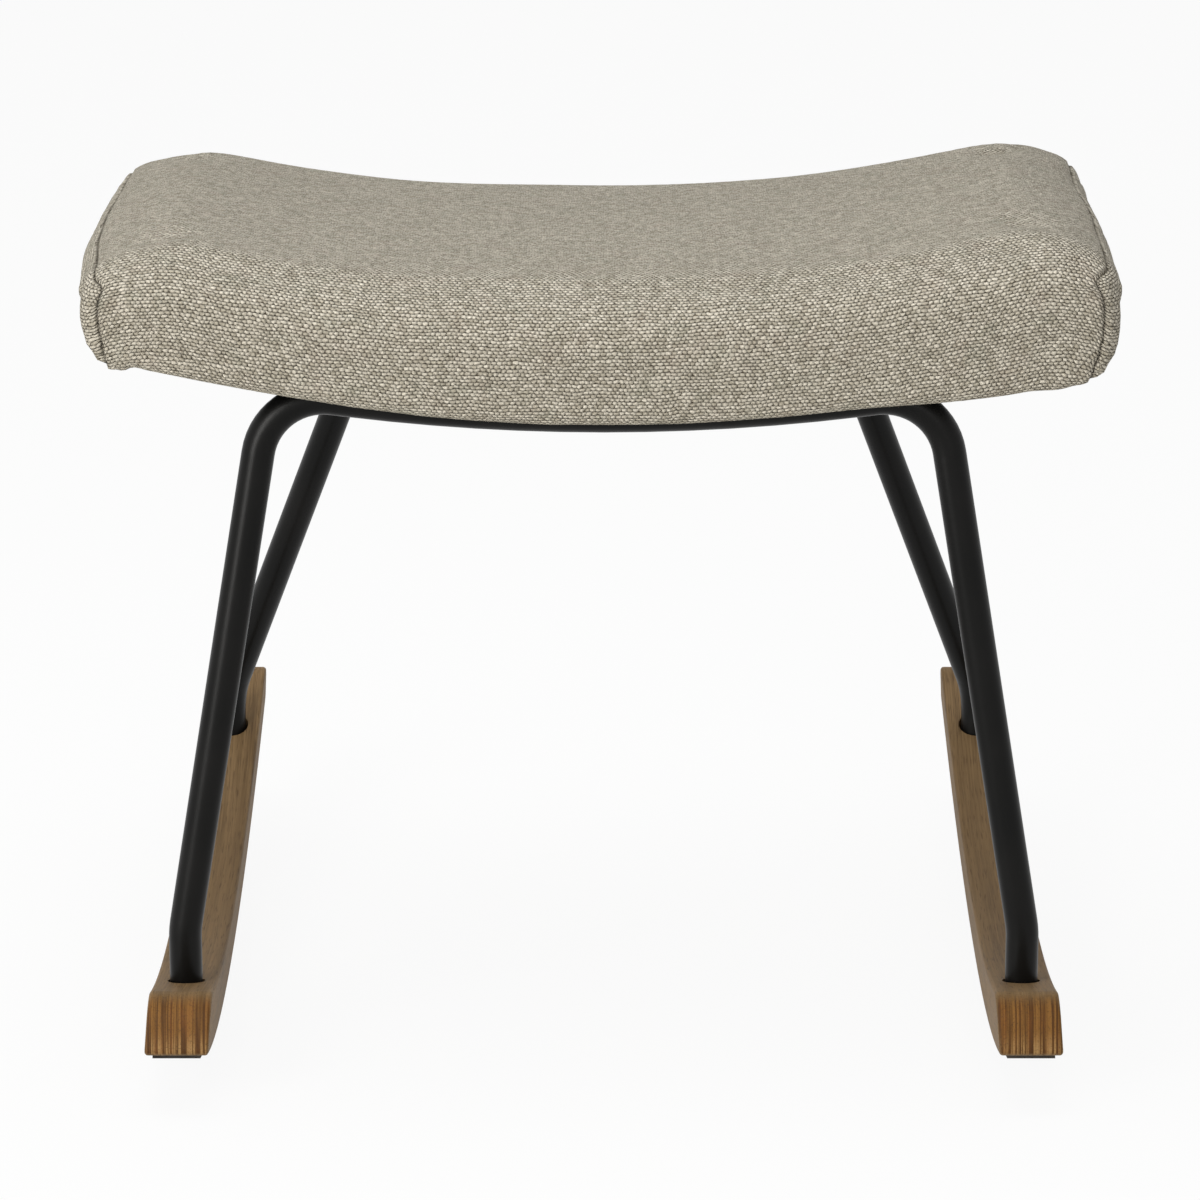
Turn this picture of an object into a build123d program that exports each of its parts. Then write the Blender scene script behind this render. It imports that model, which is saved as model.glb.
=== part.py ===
from build123d import *
import os
from math import asin, atan, cos, degrees, radians, sin, sqrt, tan

# A rocking footstool: a saddle-shaped upholstered seat on two bent steel tube
# frames, whose four feet stand in sockets in two curved oak rockers.
# Millimetres. X runs along the seat's width, +Y to the back, +Z up. The origin
# is on the floor, half way between the rockers and half way along them.
# Nothing is hinged: the whole footstool rolls on its two treads.

# ---------------------------------------------------------------- dimensions
# steel tube
TUBE_OD = 19.0
TUBE_WALL = 1.5
SHOULDER_BEND = 38.0        # centre-line radius of the bends under the seat
KNEE_BEND = 60.0            # centre-line radius of the slight bends above the rockers
RAIL_RADIUS = 1150.0        # curve of the cross rails, which is the seat's curve
RAIL_END_STRAIGHT = 45.0    # straight end of a rail, where the shoulder bend begins

# frames: where each one meets the seat and the rockers
FRONT_RAIL_Y = -182.1
FRONT_RAIL_Z = 394.0        # centre line in the middle of the front rail
FRONT_SHOULDER_X = 189.8
FRONT_FOOT_Y = -194.0
FRONT_STUB = 32.0           # upright tube above the rocker, up to the knee
REAR_SHOULDER_X = 140.5
REAR_FOOT_Y = 190.2
REAR_STUB = 23.0

# rockers
ROCKER_LENGTH = 534.0
ROCKER_W = 36.5
ROCKER_T = 36.0
ROCKER_X = 247.0            # centre of a rocker at floor level
ROCKER_LEAN = 4.0           # degrees: the rockers lean in towards the top
ROLL_RADIUS = 720.0         # of the tread's running face
ROLL_Y = -41.5              # where the treads touch the floor, below the centre of mass
NOSE_ROUND = 16.0           # upper edge of each rocker end
TOE_ROUND = 4.0             # lower edge of each rocker end
ROCKER_EDGE = 2.0           # softened long edges
SOCKET_D = 22.0
SOCKET_DEPTH = 20.0

# rubber treads
TREAD_W = 27.5
TREAD_T = 2.0
TREAD_END_GAP = 7.0         # bare wood before each end of a tread

# seat
SEAT_TILT = 3.8             # degrees: the back edge is lower
SEAT_DEPTH = 362.0
SEAT_HALF_W = 295.5         # half the width, at the underside
SEAT_T = 72.5               # underside to the upper edges, in the middle
FRONT_OVERHANG = 53.0       # cushion in front of the front rail's centre line
REAR_OVERHANG = 35.0        # cushion behind the rear rail's centre line
EDGE_THIN = 5.5             # the cushion is this much thinner at its two ends
TOP_CROWN = 5.0             # rise of the top between its front and back edges
SIDE_BULGE = 3.0            # swell of the front and back faces
PLAN_BOW = 3.0              # the front and back faces stand this far out in the middle
EDGE_ROLL = 6.5             # foam rolled below the board along front and back
EDGE_ROLL_W = 22.0
TOP_ROUND = 30.0
BOTTOM_ROUND = 9.0
END_PUFF_L = 50.0           # the top comes down to the ends along a quarter ellipse
END_PUFF_H = 31.0           # of this length and height
END_SIDE_ROUND = 15.0       # front and back round over into the ends
END_LOW_L = 20.0            # and the underside rises to them along another
END_LOW_H = 32.0
END_UPRIGHT = 0.55          # the ends lean by this share of the seat's angle there
END_STEPS = 4               # steps between an end's sections, on each side of its lower round
LEAST_ROUND = 1.0           # smallest round left on the inner layers' edges
SEAM_INSET = 9.5            # end seam, measured in from the end face

# seat layers
COVER_T = 1.2
HEM_W = 32.0                # cover turned under the board
DUST_CLOTH_T = 0.8
DUST_CLOTH_INSET = 27.0
BOARD_T = 12.0
BOARD_MARGIN = 9.0          # foam that laps round the board's front and back edges
BOARD_END_MARGIN = 22.0     # from the board's ends to the cushion's ends
BOARD_CORNER = 22.0
LAYER_GAP = 0.15            # clearance between the layers
HEM_GAP = 0.4               # clearance between the hem and the board
RAIL_GAP = 0.2              # clearance between the rails and the seat

# mounting tabs and their screws (M6)
TAB_W = 26.0
TAB_T = 3.0
TAB_REACH = 24.0            # rail centre line to screw
TAB_END = 10.0              # screw to the tab's free end
TAB_GAP = 0.1
TAB_CORNER = 8.0
FRONT_TAB_X = 118.0
REAR_TAB_X = 84.0
SCREW_R = 3.0
SCREW_CLEARANCE = 0.3
THREAD_CLEARANCE = 0.05
SEAT_SCREW_LENGTH = 17.0
HEAD_R = 5.25
HEAD_H = 3.3
KEY_ACROSS = 4.0            # hexagon key socket, across flats
KEY_DEPTH = 2.0
WASHER_R = 6.5
WASHER_T = 1.2
TEE_NUT_R = 10.0
TEE_NUT_T = 1.5
TEE_NUT_BARREL_R = 4.0
TEE_NUT_LENGTH = 10.0

# leg inserts and rocker screws (M6)
INSERT_LENGTH = 15.0
INSERT_GAP = 0.05
COUNTERBORE_R = 9.0
COUNTERBORE_DEPTH = 8.5
ROCKER_WASHER_R = 8.0
ROCKER_SCREW_BITE = 12.0    # screw inside the leg insert

# staples
STAPLE_CROWN = 10.0
STAPLE_LEG = 6.0
STAPLE_W = 1.2
STAPLE_T = 0.6
STAPLE_INSET = 28.5         # from the cushion's edge
STAPLES_LONG = 8            # along the front and along the back
STAPLES_SHORT = 4           # along each end

CUT_OVER = 1.0              # how far a cutting tool runs past the face it cuts

# ------------------------------------------------------------ derived places
ROLL_CENTRE = (ROLL_Y, ROLL_RADIUS)             # Y and Z of the rockers' arc centre
WOOD_OUT_R = ROLL_RADIUS - TREAD_T
WOOD_IN_R = WOOD_OUT_R - ROCKER_T
UNDER_R = RAIL_RADIUS - TUBE_OD / 2 - RAIL_GAP  # underside of the seat
SEAT_FRONT = -FRONT_OVERHANG
SEAT_BACK = SEAT_DEPTH - FRONT_OVERHANG
SEAT_END = degrees(asin(SEAT_HALF_W / UNDER_R))
BOARD_LOW = DUST_CLOTH_T + COVER_T + HEM_GAP
BOARD_TOP = BOARD_LOW + BOARD_T
TILT = radians(SEAT_TILT)
RAIL_TO_SEAT = TUBE_OD / 2 + RAIL_GAP
REAR_RAIL_LOCAL = SEAT_BACK - REAR_OVERHANG     # along the seat, from the front rail
REAR_RAIL_Y = FRONT_RAIL_Y + REAR_RAIL_LOCAL * cos(TILT)
REAR_RAIL_Z = FRONT_RAIL_Z - REAR_RAIL_LOCAL * sin(TILT)
FRONT_REACH = ROCKER_LENGTH / 2 + ROLL_Y        # rocker in front of the contact line
REAR_REACH = ROCKER_LENGTH / 2 - ROLL_Y
TAB_LENGTH = TAB_REACH + TAB_END
# the seat is built level, with its underside at zero above the front rail
SEAT_PLACE = Location(
    (0, FRONT_RAIL_Y + RAIL_TO_SEAT * sin(TILT), FRONT_RAIL_Z + RAIL_TO_SEAT * cos(TILT)),
    (-SEAT_TILT, 0, 0),
)


def arc_height(radius, y):
    """Height above the floor of a rocker arc of this radius, at a place along Y."""
    return ROLL_RADIUS - sqrt(radius**2 - (y - ROLL_Y) ** 2)


def rocker_centre(height):
    """X of the middle of the right rocker's section at a height."""
    return ROCKER_X - height * tan(radians(ROCKER_LEAN))


def foot(y):
    """The socket at this Y: its X, and the heights of its mouth and floor."""
    mouth = arc_height(WOOD_IN_R, y)
    return rocker_centre(mouth), mouth, mouth - SOCKET_DEPTH


def upright(radius, x, y, low, high):
    """An upright cylinder between two heights."""
    return Pos(x, y, (low + high) / 2) * Cylinder(radius, high - low)


def both_sides(solid):
    """A solid and its mirror image on the left."""
    return [mirror(solid, about=Plane.YZ), solid]


# ------------------------------------------------------------------- rockers
def leaning_slab(width):
    """Tall block between two planes that lean in with the rocker."""
    top = 2 * ROCKER_LENGTH
    shift = top * tan(radians(ROCKER_LEAN))
    left = ROCKER_X - width / 2
    right = ROCKER_X + width / 2
    low = [(left + shift, -top), (right + shift, -top)]
    high = [(right - shift, top), (left - shift, top)]
    face = Plane.XZ * make_face(Polyline(*low, *high, close=True))
    return extrude(face, amount=ROCKER_LENGTH, both=True)


def arc_band(inner, outer, front_reach, rear_reach, high_round=0, low_round=0):
    """Face between two arcs of the rolling centre, seen from the side."""
    start = degrees(asin(front_reach / outer))
    end = degrees(asin(rear_reach / outer))

    def arc(radius):
        return CenterArc(ROLL_CENTRE, radius, -90 - start, start + end)

    low = arc(outer)
    high = arc(inner)
    face = make_face([low, high, Line(low @ 0, high @ 0), Line(low @ 1, high @ 1)])
    for curve, radius in ((high, high_round), (low, low_round)):
        for end in (curve @ 0, curve @ 1):
            if radius > 0:
                face = fillet(face.vertices().sort_by_distance(end)[0], radius)
    return Plane.YZ * face


def side_extrusion(face, width):
    """Extrude a side view along X and trim it to the leaning section."""
    bar = extrude(face, amount=2 * ROCKER_X)
    return bar & leaning_slab(width)


def make_rocker():
    """Right oak rocker with its two sockets and the screw holes under them."""
    band = arc_band(WOOD_IN_R, WOOD_OUT_R, FRONT_REACH, REAR_REACH, NOSE_ROUND, TOE_ROUND)
    rocker = side_extrusion(band, ROCKER_W)
    sides = rocker.faces().filter_by(GeomType.PLANE).sort_by(SortBy.AREA)[-2:]
    rocker = fillet(sides.edges(), ROCKER_EDGE)
    for y in (FRONT_FOOT_Y, REAR_FOOT_Y):
        x, mouth, floor = foot(y)
        sole = arc_height(WOOD_OUT_R, y)
        rocker -= upright(SOCKET_D / 2, x, y, floor, mouth + SOCKET_DEPTH)
        rocker -= upright(SCREW_R + SCREW_CLEARANCE, x, y, sole, mouth)
        rocker -= upright(COUNTERBORE_R, x, y, sole - COUNTERBORE_DEPTH, sole + COUNTERBORE_DEPTH)
    return rocker


def make_tread():
    """Right rubber tread, glued under the rocker over the screw holes."""
    band = arc_band(WOOD_OUT_R, ROLL_RADIUS, FRONT_REACH - TREAD_END_GAP, REAR_REACH - TREAD_END_GAP)
    return side_extrusion(band, TREAD_W)


# -------------------------------------------------------------------- frames
def frame_route(shoulder_x, rail_y, rail_z, foot_y, stub):
    """Corner points and bend radii of one frame, from left foot to right foot."""
    x, mouth, floor = foot(foot_y)
    rise = atan((shoulder_x - RAIL_END_STRAIGHT) / RAIL_RADIUS)
    middle_z = rail_z - RAIL_RADIUS * (1 / cos(rise) - 1)
    shoulder_z = middle_z + shoulder_x * tan(rise)
    half = [(x, foot_y, floor), (x, foot_y, mouth + stub), (shoulder_x, rail_y, shoulder_z)]
    left = [(-px, py, pz) for px, py, pz in half]
    points = left + [(0, rail_y, middle_z)] + half[::-1]
    return points, [KNEE_BEND, SHOULDER_BEND, RAIL_RADIUS, SHOULDER_BEND, KNEE_BEND]


FRONT_ROUTE = frame_route(FRONT_SHOULDER_X, FRONT_RAIL_Y, FRONT_RAIL_Z, FRONT_FOOT_Y, FRONT_STUB)
REAR_ROUTE = frame_route(REAR_SHOULDER_X, REAR_RAIL_Y, REAR_RAIL_Z, REAR_FOOT_Y, REAR_STUB)


def swept_round(route, radius):
    """A solid round bar along a frame's route."""
    points, bends = route
    path = FilletPolyline(*points, radius=bends)
    section = Plane(path @ 0, z_dir=path % 0) * Circle(radius)
    return sweep(section, path=path)


def make_frame(route):
    """One bent tube, open at both feet."""
    return swept_round(route, TUBE_OD / 2) - swept_round(route, TUBE_OD / 2 - TUBE_WALL)


# ---------------------------------------------------------------------- seat
def seat_plane(angle, y=0.0, height=0.0):
    """Plane across the seat at an angle round its curve: local x is Y, local y is up."""
    a = radians(angle)
    reach = UNDER_R - height
    origin = (reach * sin(a), y, UNDER_R - reach * cos(a))
    return Plane(origin, x_dir=(0, 1, 0), z_dir=(cos(a), 0, sin(a)))


def arc_angle(x):
    """Angle round the seat's curve at a distance X from its middle."""
    return degrees(asin(x / UNDER_R))


def section_plane(angle):
    """Plane of a cushion section: it leans less than the seat's curve does."""
    square = seat_plane(angle)
    lean = radians(angle * END_UPRIGHT)
    return Plane(square.origin, x_dir=square.x_dir, z_dir=(cos(lean), 0, sin(lean)))


def drawn_in(from_end, length, height):
    """How far a quarter ellipse has come in at a distance from the seat's end."""
    share = max(length - from_end, 0) / length
    return height * (1 - sqrt(1 - min(share, 1) ** 2))


def cushion_section(angle, inset):
    """Cross-section of the cushion at an angle, an inset inside its surface."""
    share = (angle / SEAT_END) ** 2
    from_end = UNDER_R * radians(SEAT_END - abs(angle)) - inset
    side_in = inset + PLAN_BOW * share + drawn_in(from_end, END_SIDE_ROUND, END_SIDE_ROUND)
    low_in = inset + drawn_in(from_end, END_LOW_L, END_LOW_H)
    top_in = inset + EDGE_THIN * share + drawn_in(from_end, END_PUFF_L, END_PUFF_H)
    front = SEAT_FRONT + side_in
    back = SEAT_BACK - side_in
    low = -EDGE_ROLL + low_in
    flat = DUST_CLOTH_T + low_in
    top = SEAT_T - top_in
    middle = (front + back) / 2
    half_height = (low + top) / 2
    outline = [
        Line((front, low), (front + EDGE_ROLL_W, flat)),
        Line((front + EDGE_ROLL_W, flat), (back - EDGE_ROLL_W, flat)),
        Line((back - EDGE_ROLL_W, flat), (back, low)),
        ThreePointArc((back, low), (back + SIDE_BULGE, half_height), (back, top)),
        ThreePointArc((back, top), (middle, top + TOP_CROWN), (front, top)),
        ThreePointArc((front, top), (front - SIDE_BULGE, half_height), (front, low)),
    ]
    face = make_face(outline)
    fullness = (top - low) / (SEAT_T + EDGE_ROLL)
    for y in (front, back):
        for height, round_r in ((top, TOP_ROUND), (low, BOTTOM_ROUND)):
            corner = face.vertices().sort_by_distance((y, height, 0))[0]
            face = fillet(corner, max(round_r * fullness - inset, LEAST_ROUND))
    return section_plane(angle) * face


def cushion_body(inset):
    """The whole cushion, an inset inside its surface on every side, with pillow ends."""
    shoulder = end_angle(END_PUFF_L)
    body = loft([cushion_section(shoulder * step, inset) for step in (-1, -0.5, 0, 0.5, 1)])
    for side in (-1, 1):
        for start, stop in ((END_PUFF_L, inset + END_LOW_L), (inset + END_LOW_L, inset)):
            sections = []
            for step in range(END_STEPS + 1):
                in_from_end = stop + (start - stop) * (1 - step / END_STEPS) ** 2
                sections.append(cushion_section(side * end_angle(in_from_end), inset))
            body += loft(sections)
    return body


def curved_slab(low, high, front, back, end):
    """Slab that follows the seat's curve, between two heights above its underside."""
    profile = Polyline((front, low), (back, low), (back, high), (front, high), close=True)
    face = seat_plane(-end) * make_face(profile)
    return revolve(face, axis=Axis((0, 0, UNDER_R), (0, -1, 0)), revolution_arc=2 * end)


def end_angle(inset):
    """Angle of a line that lies an inset in from the cushion's end."""
    return SEAT_END - degrees(inset / UNDER_R)


def screw_spots():
    """Angle and local Y of the four seat screws."""
    rows = (
        (FRONT_TAB_X, TAB_REACH),
        (REAR_TAB_X, REAR_RAIL_LOCAL - TAB_REACH),
    )
    return [(side * arc_angle(x), y) for x, y in rows for side in (-1, 1)]


def radial_cylinder(radius, spot, low, high):
    """Cylinder square to the seat's underside, at a screw spot."""
    angle, y = spot
    plane = seat_plane(angle, y, (low + high) / 2)
    square = Plane(plane.origin, x_dir=plane.x_dir, z_dir=plane.y_dir)
    return square * Cylinder(radius, high - low)


def make_board():
    """Moulded plywood seat board with four holes for the tee nuts."""
    margin = COVER_T + LAYER_GAP + BOARD_MARGIN
    board = curved_slab(
        BOARD_LOW, BOARD_TOP, SEAT_FRONT + margin, SEAT_BACK - margin, end_angle(BOARD_END_MARGIN)
    )
    short = board.edges().filter_by(GeomType.LINE).sort_by(SortBy.LENGTH)[:4]
    board = fillet(short, BOARD_CORNER)
    for spot in screw_spots():
        board -= radial_cylinder(TEE_NUT_BARREL_R, spot, BOARD_LOW - CUT_OVER, BOARD_TOP + CUT_OVER)
        board -= radial_cylinder(TEE_NUT_R, spot, BOARD_TOP - TEE_NUT_T, BOARD_TOP + CUT_OVER)
    return board


def make_foam():
    """Foam block: fills the cover and laps round the edge of the board."""
    margin = COVER_T + BOARD_MARGIN
    end_margin = BOARD_END_MARGIN - LAYER_GAP
    pocket = curved_slab(
        -SEAT_T, BOARD_TOP + LAYER_GAP, SEAT_FRONT + margin, SEAT_BACK - margin, end_angle(end_margin)
    )
    return cushion_body(COVER_T + LAYER_GAP) - pocket


def make_cover():
    """Fabric cover, open under the board inside its hem."""
    window = curved_slab(
        -SEAT_T / 2, BOARD_LOW, SEAT_FRONT + HEM_W, SEAT_BACK - HEM_W, end_angle(HEM_W)
    )
    return cushion_body(0.0) - cushion_body(COVER_T) - window


def make_dust_cloth():
    """Black cloth that closes the underside, with holes for the seat screws."""
    cloth = curved_slab(
        0,
        DUST_CLOTH_T - LAYER_GAP / 2,
        SEAT_FRONT + DUST_CLOTH_INSET,
        SEAT_BACK - DUST_CLOTH_INSET,
        end_angle(DUST_CLOTH_INSET),
    )
    for spot in screw_spots():
        cloth -= radial_cylinder(TEE_NUT_BARREL_R, spot, -CUT_OVER, BOARD_LOW)
    return cloth


def staple_spots():
    """Angle, local Y and turn of each staple round the underside."""
    front = SEAT_FRONT + STAPLE_INSET
    back = SEAT_BACK - STAPLE_INSET
    end = end_angle(STAPLE_INSET)
    spots = []
    for i in range(STAPLES_LONG):
        angle = end * (2 * (i + 0.5) / STAPLES_LONG - 1)
        spots += [(angle, front, 90), (angle, back, 90)]
    for i in range(STAPLES_SHORT):
        y = front + (back - front) * (i + 0.5) / STAPLES_SHORT
        spots += [(-end, y, 0), (end, y, 0)]
    return spots


def make_staples():
    """Wire staples: the crown lies under the cloth and the legs reach into the board."""
    staple = Pos(0, 0, -STAPLE_T / 2) * Box(STAPLE_CROWN, STAPLE_W, STAPLE_T)
    for side in (-1, 1):
        x = side * (STAPLE_CROWN - STAPLE_T) / 2
        staple += Pos(x, 0, STAPLE_LEG / 2) * Box(STAPLE_T, STAPLE_W, STAPLE_LEG)
    placed = []
    for angle, y, turn in staple_spots():
        plane = seat_plane(angle, y)
        square = Plane(plane.origin, x_dir=plane.x_dir, z_dir=plane.y_dir)
        placed.append(square * Rot(0, 0, turn) * staple)
    return placed


def tab_outline():
    """Tab seen from below: square at the rail, round at the free corners."""
    with BuildSketch() as sketch:
        with Locations((TAB_LENGTH / 2, 0)):
            Rectangle(TAB_LENGTH, TAB_W)
        fillet(sketch.vertices().group_by(Axis.X)[-1], TAB_CORNER)
    return sketch.sketch


def make_tab(spot, toward_back, tube):
    """Steel tab welded to a rail: its end is cut to the tube."""
    angle, y = spot
    rail_y = y - TAB_REACH if toward_back else y + TAB_REACH
    plane = seat_plane(angle, rail_y, -TAB_GAP)
    square = Plane(plane.origin, x_dir=plane.x_dir, z_dir=plane.y_dir)
    turn = 0 if toward_back else 180
    plate = square * Rot(0, 0, turn) * extrude(tab_outline(), amount=-TAB_T)
    plate -= radial_cylinder(SCREW_R + SCREW_CLEARANCE, spot, -TAB_GAP - TAB_T - CUT_OVER, 0)
    plate = SEAT_PLACE * plate - tube
    return plate.solids().sort_by(SortBy.VOLUME)[-1]


def make_screw(length):
    """Button-head screw: origin under the head, shank along +Z."""
    screw = Pos(0, 0, length / 2) * Cylinder(SCREW_R, length)
    screw += Pos(0, 0, -HEAD_H / 2) * Cylinder(HEAD_R, HEAD_H)
    key = extrude(RegularPolygon(KEY_ACROSS / 2, 6, major_radius=False), amount=KEY_DEPTH)
    return screw - Pos(0, 0, -HEAD_H) * key


def seat_upright(spot, height):
    """Place at a screw spot, with Z square to the seat's underside."""
    angle, y = spot
    plane = seat_plane(angle, y, height)
    return Plane(plane.origin, x_dir=plane.x_dir, z_dir=plane.y_dir)


def make_washer(radius):
    """Flat washer, upper face at zero."""
    ring = Cylinder(radius, WASHER_T) - Cylinder(SCREW_R + SCREW_CLEARANCE, WASHER_T)
    return Pos(0, 0, -WASHER_T / 2) * ring


def make_tee_nut():
    """Tee nut, upper face of its flange at zero."""
    nut = Pos(0, 0, -TEE_NUT_T / 2) * Cylinder(TEE_NUT_R, TEE_NUT_T)
    nut += Pos(0, 0, -TEE_NUT_LENGTH / 2) * Cylinder(TEE_NUT_BARREL_R, TEE_NUT_LENGTH)
    bore = Pos(0, 0, -TEE_NUT_LENGTH / 2) * Cylinder(SCREW_R + THREAD_CLEARANCE, TEE_NUT_LENGTH)
    return nut - bore


def leg_spots():
    """X, Y, socket floor height and sole height of the two right-hand sockets."""
    spots = []
    for y in (FRONT_FOOT_Y, REAR_FOOT_Y):
        x, mouth, floor = foot(y)
        spots.append((x, y, floor, arc_height(WOOD_OUT_R, y)))
    return spots


def make_inserts():
    """Threaded plugs welded into the four tube ends."""
    plugs = []
    for x, y, floor, sole in leg_spots():
        plug = upright(TUBE_OD / 2 - TUBE_WALL - INSERT_GAP, x, y, floor, floor + INSERT_LENGTH)
        plug -= upright(SCREW_R + THREAD_CLEARANCE, x, y, floor, floor + INSERT_LENGTH)
        plugs += both_sides(plug)
    return plugs


def make_rocker_fixings():
    """Screws and washers in the counterbores under the rockers."""
    screws = []
    washers = []
    for x, y, floor, sole in leg_spots():
        ceiling = sole + COUNTERBORE_DEPTH
        length = floor + ROCKER_SCREW_BITE - (ceiling - WASHER_T)
        screws += both_sides(Pos(x, y, ceiling - WASHER_T) * make_screw(length))
        washers += both_sides(Pos(x, y, ceiling) * make_washer(ROCKER_WASHER_R))
    return screws, washers


# ------------------------------------------------------------------ assembly
def seat_parts():
    """Every seat piece, in its level place."""
    staples = make_staples()
    cover = make_cover()
    board = make_board()
    cloth = make_dust_cloth()
    for staple in staples:
        cover -= staple
        board -= staple
        cloth -= staple
    seam = end_angle(SEAM_INSET)
    right_seam = section_plane(seam)
    left_seam = section_plane(-seam)
    end_right = split(cover, bisect_by=right_seam, keep=Keep.TOP)
    rest = split(cover, bisect_by=right_seam, keep=Keep.BOTTOM)
    end_left = split(rest, bisect_by=left_seam, keep=Keep.BOTTOM)
    main = split(rest, bisect_by=left_seam, keep=Keep.TOP)
    tab_low = -TAB_GAP - TAB_T
    return {
        "seat_board": board,
        "seat_foam": make_foam(),
        "cover_main": main,
        "cover_end_left": end_left,
        "cover_end_right": end_right,
        "dust_cloth": cloth,
        "staples": staples,
        "tee_nuts": [seat_upright(spot, BOARD_TOP) * make_tee_nut() for spot in screw_spots()],
        "seat_washers": [seat_upright(spot, tab_low) * make_washer(WASHER_R) for spot in screw_spots()],
        "seat_screws": [
            seat_upright(spot, tab_low - WASHER_T) * make_screw(SEAT_SCREW_LENGTH) for spot in screw_spots()
        ],
    }


def frame_parts():
    """The two frames, their tabs and the inserts in their feet."""
    parts = {
        "front_frame": make_frame(FRONT_ROUTE),
        "rear_frame": make_frame(REAR_ROUTE),
        "leg_inserts": make_inserts(),
    }
    tubes = {"front": swept_round(FRONT_ROUTE, TUBE_OD / 2), "rear": swept_round(REAR_ROUTE, TUBE_OD / 2)}
    names = ["front_left", "front_right", "rear_left", "rear_right"]
    for name, spot in zip(names, screw_spots()):
        row = name.split("_")[0]
        parts["tab_" + name] = make_tab(spot, row == "front", tubes[row])
    return parts


def rocker_parts():
    """Rockers, treads and the screws under them."""
    screws, washers = make_rocker_fixings()
    rocker_left, rocker_right = both_sides(make_rocker())
    tread_left, tread_right = both_sides(make_tread())
    return {
        "rocker_left": rocker_left,
        "rocker_right": rocker_right,
        "tread_left": tread_left,
        "tread_right": tread_right,
        "rocker_screws": screws,
        "rocker_washers": washers,
    }


def solids_of(piece):
    """All solids of a piece or of a list of pieces."""
    pieces = piece if isinstance(piece, list) else [piece]
    return [solid for item in pieces for solid in item.solids()]


os.makedirs("parts", exist_ok=True)
nodes = {name: [SEAT_PLACE * solid for solid in solids_of(piece)] for name, piece in seat_parts().items()}
nodes |= {name: solids_of(piece) for name, piece in (frame_parts() | rocker_parts()).items()}
for name, solids in nodes.items():
    shape = solids[0] if len(solids) == 1 else Compound(children=solids)
    shape.label = name
    export_step(shape, f"parts/{name}.step")
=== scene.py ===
import math

import bmesh
import bpy
import numpy as np
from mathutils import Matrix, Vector, kdtree, noise


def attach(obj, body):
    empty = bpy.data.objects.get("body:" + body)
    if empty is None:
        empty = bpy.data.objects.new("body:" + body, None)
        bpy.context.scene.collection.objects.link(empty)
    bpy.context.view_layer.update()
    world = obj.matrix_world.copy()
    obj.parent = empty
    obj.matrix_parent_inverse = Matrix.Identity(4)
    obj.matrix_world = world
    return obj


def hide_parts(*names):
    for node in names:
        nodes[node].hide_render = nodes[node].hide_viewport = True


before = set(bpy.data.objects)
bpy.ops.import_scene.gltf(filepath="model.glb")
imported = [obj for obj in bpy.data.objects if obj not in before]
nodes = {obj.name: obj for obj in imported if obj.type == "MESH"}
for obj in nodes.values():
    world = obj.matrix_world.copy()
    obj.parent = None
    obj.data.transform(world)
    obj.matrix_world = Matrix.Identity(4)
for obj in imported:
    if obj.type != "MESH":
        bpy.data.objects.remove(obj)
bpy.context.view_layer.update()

# ------------------------------------------------------------------ oak rockers
# Two curved runners sawn from solid oak and oiled, with a socket for each foot.
# The grain runs along the curve. The long faces are greyish, partly their own
# colour and partly a painted sheen of the sky. The ends show end grain, which
# drinks more oil: orange-brown, and painted paler towards the floor as painted
# light.


def srgb(red, green, blue):
    """A colour as a picture gives it, 0 to 255, turned into the shader's own values."""
    made = []
    for part in (red, green, blue):
        part = part / 255
        made.append(part / 12.92 if part < 0.04045 else ((part + 0.055) / 1.055) ** 2.4)
    return (*made, 1)


class Wire:
    """One output of a material's node. Python's operators on it add Math nodes."""

    def __init__(self, finish, socket):
        self.finish = finish
        self.socket = socket

    def maths(self, operation, *others):
        values = dict(enumerate((self, *others)))
        return self.finish.node("ShaderNodeMath", {"operation": operation}, values)

    def reflected(self, operation, other):
        return self.finish.node("ShaderNodeMath", {"operation": operation}, {0: other, 1: self})

    def __add__(self, other):
        return self.maths("ADD", other)

    __radd__ = __add__

    def __sub__(self, other):
        return self.maths("SUBTRACT", other)

    def __rsub__(self, other):
        return self.reflected("SUBTRACT", other)

    def __mul__(self, other):
        return self.maths("MULTIPLY", other)

    __rmul__ = __mul__

    def __truediv__(self, other):
        return self.maths("DIVIDE", other)

    def __rtruediv__(self, other):
        return self.reflected("DIVIDE", other)

    def __pow__(self, other):
        return self.maths("POWER", other)

    def ramp(self, low, high, start=0.0, end=1.0):
        """Smooth change from start to end as this goes from low to high."""
        sockets = {0: self, 1: low, 2: high, 3: start, 4: end}
        return self.finish.node("ShaderNodeMapRange", {"interpolation_type": "SMOOTHSTEP"}, sockets)

    def parts(self):
        """The X, Y and Z of a vector."""
        split = self.finish.node("ShaderNodeSeparateXYZ", {}, {0: self})
        return [Wire(self.finish, socket) for socket in split.socket.node.outputs]


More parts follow.
